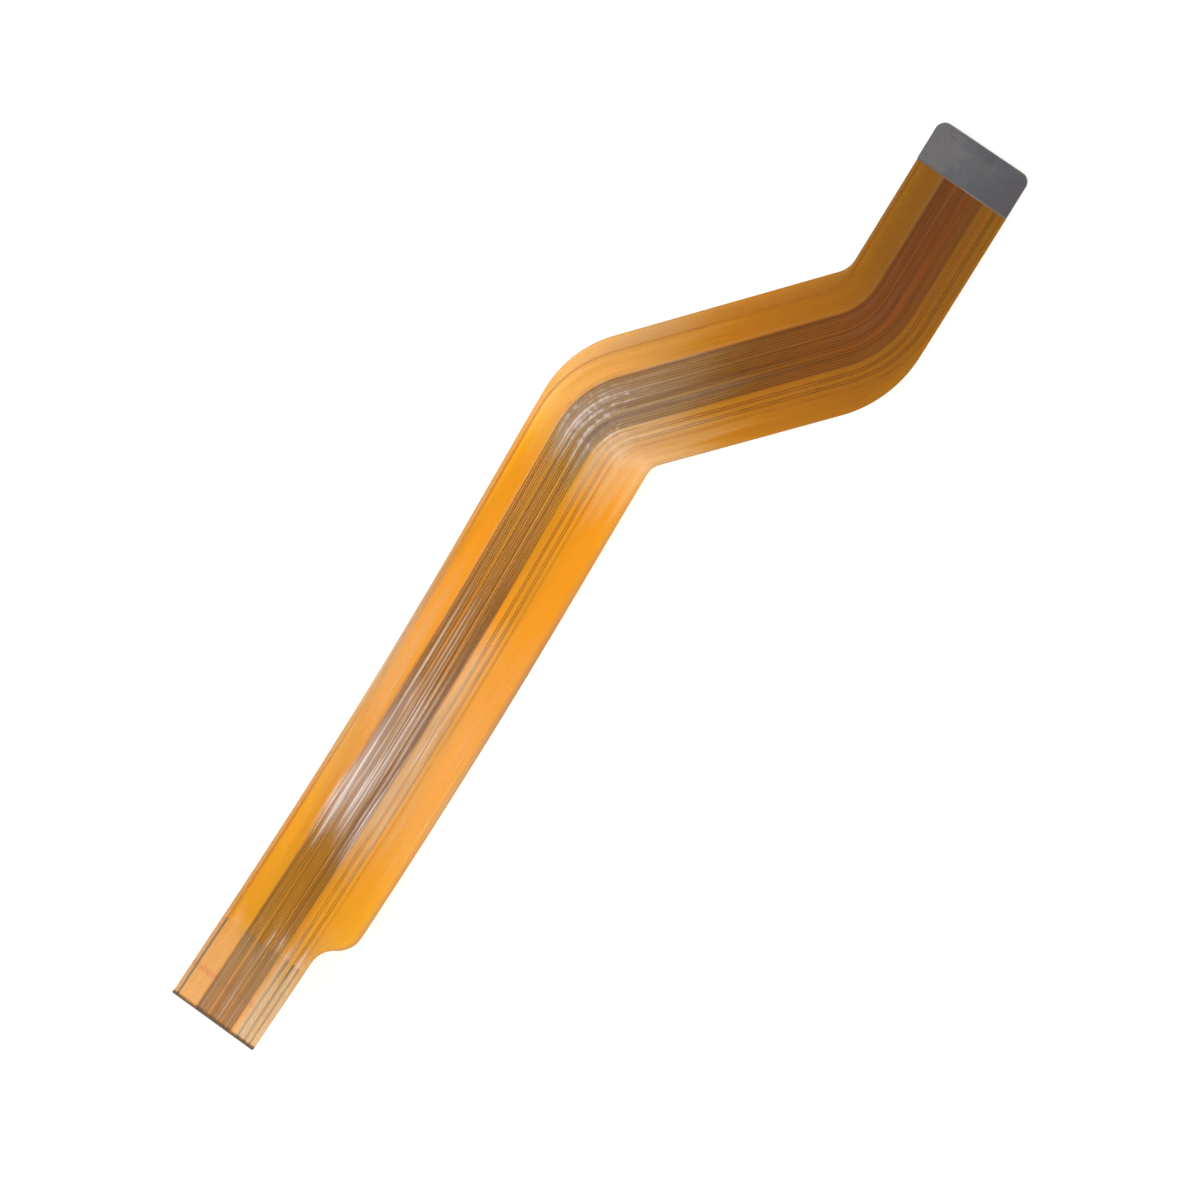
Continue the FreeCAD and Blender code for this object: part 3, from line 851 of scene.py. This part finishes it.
def painted_sheen_layer(film, under, edge_shade_and_sheen):
    """Painted sheen: all over, in places, in the pale stripes and by the edges. Streaks are about a half on
    average, so they count twice.
    """
    cool = film.math("MULTIPLY", film.over_lines, film.greys(film.along, COOL_SHEEN_STOPS))
    sheen = film.add("ShaderNodeBsdfDiffuse", Color=film.blend(cool, WARM_SHEEN, COOL_SHEEN))
    amount = film.greys(film.along, SHEEN_ALL_OVER)
    for sheen_place in SHEEN_PLACES:
        amount = film.math("ADD", amount, film.patch(*sheen_place))
    glint_stripes = film.math("MULTIPLY", film.greys(film.stripes, GLINT_STRIPES), film.patch(*GLINT_STRIPE_PLACE))
    amount = film.math("ADD", amount, glint_stripes)
    amount = film.math("ADD", amount, film.math("MULTIPLY", edge_shade_and_sheen, EDGE_SHEEN))
    left_over = film.math("SUBTRACT", 1.0, film.math("MULTIPLY", film.tail_band, TAIL_SHEEN_LOSS))
    amount = film.math("MULTIPLY", amount, left_over)
    streaky = film.math("MULTIPLY", film.math("MULTIPLY", amount, film.streaks), 2.0)
    return film.layer(film.math("MULTIPLY", film.front, streaky), under, sheen)


def painted_glint_layer(film, under, creases):
    """Painted glints: dark and pale reflection streaks along the lines, broken up where the film is creased.
    """
    glint_streaks = film.math("ADD", film.drawn_out(GLINT_STREAK_SCALE, 4.0),
                          film.math("MULTIPLY", creases, CREASES_IN_GLINTS))
    glint = film.add("ShaderNodeBsdfDiffuse", Color=film.ramp(glint_streaks, GLINT_TONES))
    depth = film.math("MULTIPLY", film.greys(glint_streaks, GLINT_DEPTHS), film.greys(film.across, GLINT_LANES))
    amount = film.math("MULTIPLY", depth, film.greys(film.along, PAINTED_GLINTS))
    return film.layer(film.math("MULTIPLY", film.front, amount), under, glint)


def gloss_layer(film, under, creases):
    """The film's low gloss, uneven along its streaks and creases."""
    rough = film.greys(film.streaks, FILM_ROUGHNESS)
    relief = film.math("ADD", film.streaks, film.math("MULTIPLY", creases, CREASES_IN_BUMP))
    bump = film.add("ShaderNodeBump", Strength=FILM_BUMP_STRENGTH, Distance=FILM_BUMP_DEPTH, Height=relief)
    shine = film.add("ShaderNodeBsdfGlossy", Roughness=rough, Normal=bump.outputs["Normal"])
    fresnel = film.add("ShaderNodeFresnel", IOR=FILM_IOR).outputs[0]
    gloss = film.math("MINIMUM", fresnel, MOST_GLOSS)
    return film.layer(film.math("MULTIPLY", film.front, gloss), under, shine)


def film_material(name):
    """See-through amber film; its dull layer, painted sheen, painted glints and gloss lie on the faces'
    fronts.
    """
    film = FilmNodes(name)
    edge_shade_and_sheen = film.edge_shade_and_sheen()
    creases = film.creases()
    body = film_body(film, film_tint_and_shade(film, edge_shade_and_sheen))
    sheened = painted_sheen_layer(film, body, edge_shade_and_sheen)
    glinted = painted_glint_layer(film, sheened, creases)
    return film.surface(gloss_layer(film, glinted, creases))


def clear_material(name, colour):
    """A see-through surface without gloss."""
    nodes = Nodes(name)
    return nodes.surface(nodes.add("ShaderNodeBsdfTransparent", Color=colour))


def edge_material(name, colour):
    """Cut edge of the films: dull and darker than their faces."""
    nodes = Nodes(name)
    dark = tuple(part * 0.6 for part in colour)
    shade = nodes.ramp(nodes.noise(None, 900.0, 2.0), [(0.3, dark), (0.7, colour)])
    return nodes.surface(nodes.add("ShaderNodeBsdfPrincipled", Base_Color=shade, Roughness=0.55))


def copper_material(name, dark, light):
    """Rolled copper foil with fine marks along Y and a slight change of tone."""
    nodes = Nodes(name)
    marks = nodes.noise(nodes.scaled(nodes.object_place(), COPPER_MARK_SCALE), 1.0, 3.0)
    colour = nodes.ramp(marks, [(0.3, dark), (0.7, light)])
    rough = nodes.greys(marks, [(0.3, 0.38), (0.7, 0.52)])
    return nodes.surface(nodes.add("ShaderNodeBsdfPrincipled", Base_Color=colour, Roughness=rough,
                                   Metallic=0.3))


def marked_material(name, stops, roughness, mark_scale, metallic):
    """Fine marks along X over uneven tone, which stops give from the plug's left end to its right."""
    nodes = Nodes(name)
    place = nodes.object_place()
    marks = nodes.noise(nodes.scaled(place, (mark_scale * MARK_STRETCH, mark_scale, mark_scale)), 1.0, 4.0)
    patches = nodes.noise(place, PATCH_SCALE, 3.0, roughness=0.6)
    split = nodes.add("ShaderNodeSeparateXYZ", Vector=place)
    across = nodes.math("ADD", nodes.math("MULTIPLY", split.outputs["X"], 1 / (PLUG_LEG_WIDTH * MM)), 0.5)
    mixed = nodes.math("ADD", nodes.math("MULTIPLY", marks, MARK_SHARE),
                       nodes.math("MULTIPLY", patches, PATCH_SHARE))
    mottle = nodes.math("SUBTRACT", mixed, (MARK_SHARE + PATCH_SHARE) / 2)
    colour = nodes.ramp(nodes.math("ADD", across, mottle), stops)
    bump = nodes.add("ShaderNodeBump", Strength=0.15, Distance=0.00001, Height=marks)
    return nodes.surface(nodes.add("ShaderNodeBsdfPrincipled", Base_Color=colour, Roughness=roughness,
                                   Metallic=metallic, Normal=bump.outputs["Normal"]))


def plastic_material(name, dark, light, roughness):
    """Moulded plastic with a fine grain."""
    nodes = Nodes(name)
    colour = nodes.ramp(nodes.noise(None, 6000.0, 3.0), [(0.3, dark), (0.7, light)])
    return nodes.surface(nodes.add("ShaderNodeBsdfPrincipled", Base_Color=colour, Roughness=roughness))


def tail_stiffener_material(name):
    """Clear stiffening film with a dark line of painted shade along its cut end."""
    nodes = Nodes(name)
    clear = nodes.add("ShaderNodeBsdfTransparent", Color=(0.995, 0.98, 0.95, 1.0))
    pale = nodes.add("ShaderNodeBsdfPrincipled", Base_Color=(0.86, 0.58, 0.34, 1.0), Roughness=0.28)
    film = nodes.layer(STIFFENER_TINT_SHARE, clear, pale)
    end_shade = nodes.add("ShaderNodeBsdfPrincipled", Base_Color=(0.09, 0.045, 0.02, 1.0), Roughness=0.6)
    split = nodes.add("ShaderNodeSeparateXYZ", Vector=nodes.object_place())
    width = nodes.math("MULTIPLY", nodes.noise(None, 1500.0, 2.0), END_SHADE_WIDTH * 2 * MM)
    shaded_end = nodes.math("LESS_THAN", split.outputs["Y"], nodes.math("ADD", width, TAIL_Y * MM))
    return nodes.surface(nodes.layer(nodes.math("MULTIPLY", shaded_end, END_SHADE_SHARE), film, end_shade))


def dress(node, material):
    """Gives a carried-over solid its material."""
    target = NODES[node]
    target.data.materials.clear()
    target.data.materials.append(material)


def covered(x, y):
    """True where the cover film lies: not at the bare fingers and not around the plug."""
    in_window = abs(y) < WINDOW_Y and abs(x) < WINDOW_X
    return y > TAIL_Y + BARE_FINGER_LENGTH and not in_window


def base_top(height, y):
    """The base film's top: it rises over the copper, except under the stiffeners."""
    flat = (y < TAIL_Y + TAIL_STIFFENER_LENGTH + TAIL_FLAT_MARGIN
            or y > OUTER_EDGE_Y - PLUG_ADHESIVE_LENGTH - PLUG_FLAT_MARGIN)
    return FILM_TOP - SKIN_GAP + (0.0 if flat else EMBOSS * height)


def base_underside(height, y):
    """The base film's underside, which is flat and just above the copper."""
    return COPPER_TOP + SKIN_GAP


def base_kinds(x, y):
    """The base film's materials: its underside is an inner face where the cover film lies."""
    return [OUTER, INNER if covered(x, y) else OUTER]


def cover_top(height, y):
    """The cover film's top, with a channel for each line."""
    return (COPPER_LOW if height else COPPER_TOP) - SKIN_GAP


def cover_underside(height, y):
    """The cover film's underside, from which all levels are measured."""
    return 0.0


def cover_kinds(x, y):
    """The cover film's materials: its top is an inner face."""
    return [INNER, OUTER]


def films():
    """The base film and the cover film, over their solids."""
    materials = [
        film_material("amber_film_look"),
        clear_material("film_inner_look", (1.0, 1.0, 1.0, 1.0)),
        edge_material("film_edge_look", (0.30, 0.13, 0.02)),
    ]
    base = slab("base_film_skin", film_lanes(foot=0.03, crest=-0.03), base_top, base_underside,
                lambda x, y: True, base_kinds, materials)
    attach(base, "root")
    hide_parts("base_film")
    cover = slab("cover_film_skin", film_lanes(foot=0.006, crest=0.001), cover_top, cover_underside,
                 covered, cover_kinds, materials)
    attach(cover, "root")
    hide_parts("coverlay")


def copper_lines():
    """Every copper line, over its solid, and the spare pads."""
    fine = copper_material("fine_copper_look", (0.27, 0.20, 0.16), (0.39, 0.29, 0.24))
    wide = copper_material("wide_copper_look", (0.66, 0.50, 0.36), (0.84, 0.66, 0.48))
    guard = copper_material("guard_copper_look", (0.62, 0.45, 0.30), (0.78, 0.58, 0.40))
    # Painted shade: the dark rims stand for the shade at the film's step over a wide line's edges
    rim = copper_material("copper_rim_shade_look", (0.20, 0.11, 0.06), (0.32, 0.19, 0.10))
    for name, places, width, ends in CONDUCTORS:
        copper = {FINE_WIDTH: [fine], POWER_WIDTH: [wide, rim]}.get(width, [guard])
        piece = copper_ribbon(name + "_foil", places, width, ends, copper)
        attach(piece, "root")
        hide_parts(name)
    dress("spare_pads", fine)


def stiffeners():
    """The plug's grey plate, the tail's clear film, and the adhesive under each."""
    tones = [(0.0, (0.114, 0.108, 0.114)), (0.2, (0.106, 0.097, 0.095)), (0.35, (0.074, 0.075, 0.094)),
             (0.5, (0.080, 0.077, 0.076)), (0.7, (0.057, 0.061, 0.068)), (1.0, (0.052, 0.046, 0.053))]
    dress("plug_stiffener", marked_material("stiffener_look", tones, 0.5, 3000.0, 0.0))
    tones = [(0.1, (0.13, 0.085, 0.035)), (0.45, (0.17, 0.115, 0.08)), (0.65, (0.25, 0.18, 0.16)),
             (1.0, (0.16, 0.12, 0.11))]
    dress("plug_stiffener_adhesive", marked_material("adhesive_look", tones, 0.5, 3000.0, 0.0))
    dress("tail_stiffener", tail_stiffener_material("tail_stiffener_look"))
    dress("tail_stiffener_adhesive", clear_material("tail_adhesive_look", (1.0, 0.985, 0.96, 1.0)))


def plug():
    """The plug's black housing and its gold contacts and nails."""
    dress("plug_housing", plastic_material("plug_moulding_look", (0.015, 0.015, 0.016),
                                           (0.03, 0.03, 0.032), 0.45))
    tones = [(0.3, (0.75, 0.50, 0.18)), (0.7, (0.90, 0.66, 0.30))]
    gold = marked_material("gold_contact_look", tones, 0.28, 4000.0, 1.0)
    for node in ("far_contact_row", "near_contact_row", "left_fitting_nail", "right_fitting_nail"):
        dress(node, gold)


def background_rays(tree):
    """1 for the rays that meet the white background: camera, glossy and transmission rays."""
    path = tree.nodes.new("ShaderNodeLightPath")
    total = path.outputs["Is Camera Ray"]
    for kind in ("Is Glossy Ray", "Is Transmission Ray"):
        most = tree.nodes.new("ShaderNodeMath")
        most.operation = "MAXIMUM"
        tree.links.new(total, most.inputs[0])
        tree.links.new(path.outputs[kind], most.inputs[1])
        total = most.outputs[0]
    return total


def floor_material(name):
    """Matt floor that also glows white for the camera, gloss and glass."""
    nodes = Nodes(name)
    matt = nodes.add("ShaderNodeBsdfDiffuse", Color=(0.8, 0.8, 0.8, 1.0))
    away = nodes.add("ShaderNodeVectorMath", {"operation": "LENGTH"})
    nodes.set(away, "#0", nodes.object_place())
    level = nodes.greys(away.outputs["Value"], FLOOR_GLOW)
    strength = nodes.math("MULTIPLY", background_rays(nodes.tree), level)
    glow = nodes.add("ShaderNodeEmission", Color=(1, 1, 1, 1), Strength=strength)
    total = nodes.add("ShaderNodeAddShader")
    nodes.set(total, "#0", matt.outputs[0])
    nodes.set(total, "#1", glow.outputs[0])
    return nodes.surface(total)


def stage():
    """The floor under the cable."""
    half = FLOOR_HALF
    corners = [(-half, -half, 0), (half, -half, 0), (half, half, 0), (-half, half, 0)]
    floor = new_piece("floor", corners, [(0, 1, 2, 3)], [0], [floor_material("floor_look")])


def point_at(light, place, aim):
    """Puts a lamp at this place and turns it towards its aim."""
    light.location = place
    light.rotation_euler = (Vector(aim) - Vector(place)).to_track_quat("-Z", "Y").to_euler()
    bpy.context.collection.objects.link(light)


def lamp(name, place, power):
    """A soft square lamp."""
    data = bpy.data.lights.new(name, "AREA")
    data.energy = power
    data.size = LAMP_SIZE
    point_at(bpy.data.objects.new(name, data), place, LAMP_AIM)


def glare(name, x, y, side_angle, width, strength):
    """A small spot where the film at this place mirrors the camera's line of sight.

    side_angle turns the film's face about Y, as the flank of a ridge does. width is what it lights.
    """
    spot = on_film(x, y, FILM_TOP)
    slope = rest_at(y)[1]
    normal = Vector((math.sin(side_angle), math.sin(slope) * math.cos(side_angle),
                     math.cos(slope) * math.cos(side_angle)))
    sight = (spot - camera_place()).normalized()
    place = spot + (sight - normal * (2 * sight.dot(normal))) * GLARE_DISTANCE
    data = bpy.data.lights.new(name, "SPOT")
    data.shadow_soft_size = GLARE_RADIUS
    data.energy = strength * 4 * math.pi * math.pi * GLARE_RADIUS ** 2
    data.spot_size = 2 * math.atan(width * MM / 2 / GLARE_DISTANCE)
    data.spot_blend = 1.0
    point_at(bpy.data.objects.new(name, data), place, spot)


def world_light():
    """A world that is white for the camera, gloss and glass, and dim for the rest."""
    world = bpy.data.worlds.new("studio")
    bpy.context.scene.world = world
    world.use_nodes = True
    tree = world.node_tree
    level = tree.nodes.new("ShaderNodeMix")
    level.inputs["A"].default_value = WORLD_LIGHT
    level.inputs["B"].default_value = 1.0
    tree.links.new(background_rays(tree), level.inputs["Factor"])
    background = tree.nodes["Background"]
    background.inputs["Color"].default_value = (1, 1, 1, 1)
    tree.links.new(level.outputs["Result"], background.inputs["Strength"])


def lighting():
    """The world, two soft lamps, and the small lamps of the film's glare."""
    world_light()
    for name, place, power in LAMPS:
        lamp(name, place, power)
    for spot in GLARES:
        glare(*spot)


def camera_way():
    """Direction from the aim to the camera."""
    flat = math.cos(CAMERA_ELEVATION)
    return Vector((flat * math.cos(CAMERA_AZIMUTH), flat * math.sin(CAMERA_AZIMUTH),
                   math.sin(CAMERA_ELEVATION)))


def camera_place():
    """The camera's place, in metres."""
    return (Vector(CAMERA_AIM) + camera_way() * CAMERA_DISTANCE) * MM


def camera():
    """The photograph's view, with a long lens."""
    way = camera_way()
    up = Vector((-math.sin(CAMERA_ROLL), math.cos(CAMERA_ROLL), 0))
    right = (-way).cross(up).normalized()
    up = right.cross(-way)
    data = bpy.data.cameras.new("camera")
    data.sensor_width = SENSOR_WIDTH
    data.lens = SENSOR_WIDTH * CAMERA_DISTANCE / FRAME_WIDTH
    data.clip_start = 0.01
    view = bpy.data.objects.new("camera", data)
    view.location = camera_place()
    view.rotation_euler = Matrix((right, up, way)).transposed().to_euler()
    bpy.context.collection.objects.link(view)
    bpy.context.scene.camera = view


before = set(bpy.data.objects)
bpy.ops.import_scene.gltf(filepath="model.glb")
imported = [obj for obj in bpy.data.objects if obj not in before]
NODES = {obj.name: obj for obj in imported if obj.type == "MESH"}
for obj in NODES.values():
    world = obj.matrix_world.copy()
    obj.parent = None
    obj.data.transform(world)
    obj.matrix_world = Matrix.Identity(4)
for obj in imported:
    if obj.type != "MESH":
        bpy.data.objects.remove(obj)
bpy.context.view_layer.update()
bpy.context.scene.view_settings.view_transform = "Standard"
camera()
films()
copper_lines()
stiffeners()
plug()
stage()
lighting()
